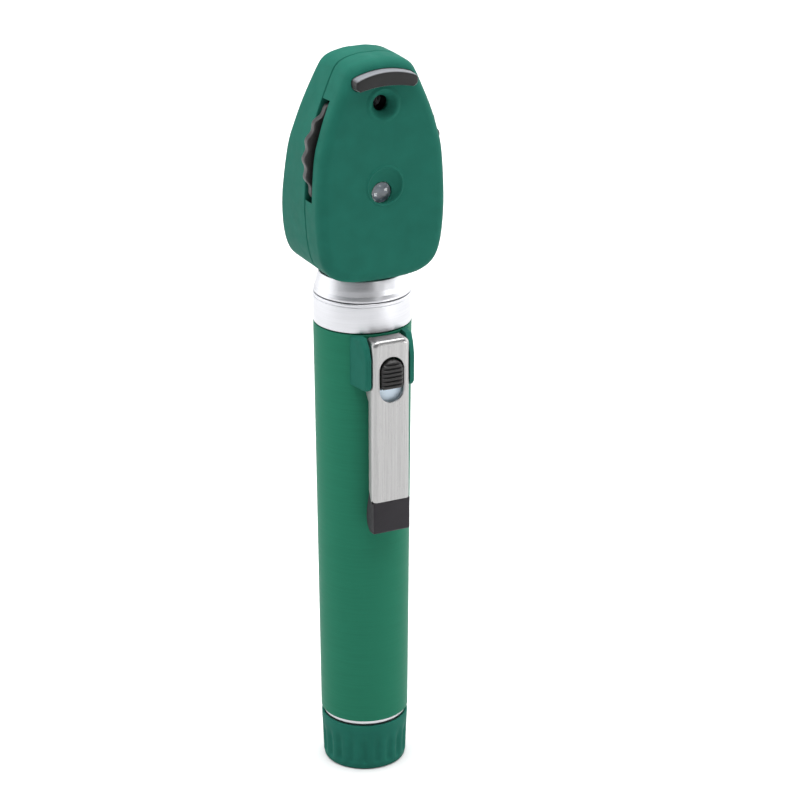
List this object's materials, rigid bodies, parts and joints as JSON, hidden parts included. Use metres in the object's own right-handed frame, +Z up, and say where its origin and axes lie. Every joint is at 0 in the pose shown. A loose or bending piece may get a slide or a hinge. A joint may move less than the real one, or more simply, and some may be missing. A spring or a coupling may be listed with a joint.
{
  "type": "direct ophthalmoscope",
  "caption": "Hand-held direct ophthalmoscope: tapered battery handle with pocket clip, slide switch and screw cap, and a turn-off egg-shaped head with lens wheel and aperture wheel.",
  "frame": {"origin": "centre of the end cap's flat bottom face, on the handle's axis", "axes": "+Z up along the handle to the head, -Y towards the examiner and the pocket clip, +X to the right seen from the examiner's side"},
  "size_m": [0.0324, 0.0286, 0.1669],
  "materials": {
    "green_anodised": "satin anodised, circumferentially turned",
    "green_plastic": "satin moulded, fine spark texture",
    "turned_silver": "bright turned",
    "stainless": "lengthwise brushed",
    "black_plastic": "satin moulded",
    "charcoal_plastic": "fine textured",
    "dark_rubber": "matt",
    "pale_plastic": "satin",
    "brass": "plain",
    "copper_alloy": "plain",
    "clear_glass": "polished, coated",
    "red_free_glass": "polished",
    "front_mirror": "front silvered",
    "cell_jacket": "printed jacket, plain",
    "lamp_lens": "domed LED"
  },
  "bodies": {
    "handle": {"barrel": "green_anodised", "collar": "turned_silver", "contact_insulator": "black_plastic", "contact_disc": "brass", "battery_lower": "cell_jacket", "battery_upper": "cell_jacket", "switch_bracket": "green_plastic", "indicator_plate": "pale_plastic", "switch_strip": "copper_alloy", "clip_pin": "stainless"},
    "switch": {"switch_button": "black_plastic", "switch_contact": "copper_alloy"},
    "clip": {"clip_blade": "stainless", "clip_foot": "charcoal_plastic", "clip_spring": "stainless"},
    "cap_lead": {"spring_seat": "brass", "battery_spring": "stainless"},
    "cap": {"end_cap": "green_plastic", "cap_sleeve": "turned_silver"},
    "head": {"neck": "turned_silver", "examiner_shell": "green_plastic", "patient_shell": "green_plastic", "brow_rest": "dark_rubber", "readout_lens": "clear_glass", "optics_frame": "black_plastic", "lamp_base": "turned_silver", "lamp_contact": "brass", "lamp_dome": "lamp_lens", "condenser_lens": "clear_glass", "objective_lens": "clear_glass", "mirror": "front_mirror", "mirror_mount": "black_plastic", "window": "clear_glass", "shell_screw_1": "stainless", "shell_screw_2": "stainless", "shell_screw_3": "stainless", "lens_wheel_axle": "stainless", "aperture_axle": "stainless", "lens_detent_spring": "stainless", "aperture_detent_spring": "stainless"},
    "lens_disc": {"lens_wheel": "black_plastic", "lens_01": "clear_glass", "lens_02": "clear_glass", "lens_03": "clear_glass", "lens_04": "clear_glass", "lens_05": "clear_glass", "lens_06": "clear_glass", "lens_07": "clear_glass", "lens_08": "clear_glass", "lens_09": "clear_glass", "lens_10": "clear_glass", "lens_11": "clear_glass", "lens_12": "clear_glass", "lens_13": "clear_glass", "lens_14": "clear_glass", "lens_15": "clear_glass"},
    "aperture_disc": {"aperture_wheel": "black_plastic", "red_free_filter": "red_free_glass"}
  },
  "joints": [
    {"name": "switch_slide", "type": "slide", "parent": "handle", "child": "switch", "axis": [0, 0, -1], "range_m": [0, 0.0017]},
    {"name": "clip_open", "type": "hinge", "parent": "handle", "child": "clip", "pos_m": [0, -0.0124, 0.1043], "axis": [-1, 0, 0], "range_deg": [0, 5.3], "stiffness_Nm_per_rad": 0.1, "springref_deg": -20.05},
    {"name": "cap_travel", "type": "slide", "parent": "handle", "child": "cap_lead", "axis": [0, 0, -1], "range_m": [0, 0.0061]},
    {"name": "cap_turn", "type": "hinge", "parent": "cap_lead", "child": "cap", "pos_m": [0, 0, 0], "axis": [0, 0, -1], "range_deg": [0, 2160]},
    {"name": "head_twist", "type": "hinge", "parent": "handle", "child": "head", "pos_m": [0, 0, 0.1137], "axis": [0, 0, 1], "range_deg": [0, 30]},
    {"name": "lens_wheel_turn", "type": "hinge", "parent": "head", "child": "lens_disc", "pos_m": [0, -0.0056, 0.145], "axis": [0, 1, 0], "continuous": true},
    {"name": "aperture_wheel_turn", "type": "hinge", "parent": "head", "child": "aperture_disc", "pos_m": [0, 0.0053, 0.1322], "axis": [0, 0, 1], "continuous": true}
  ],
  "couplings": [
    {"joint": "cap_travel", "follows": "cap_turn", "m_per_rad": 0.00015915}
  ]
}
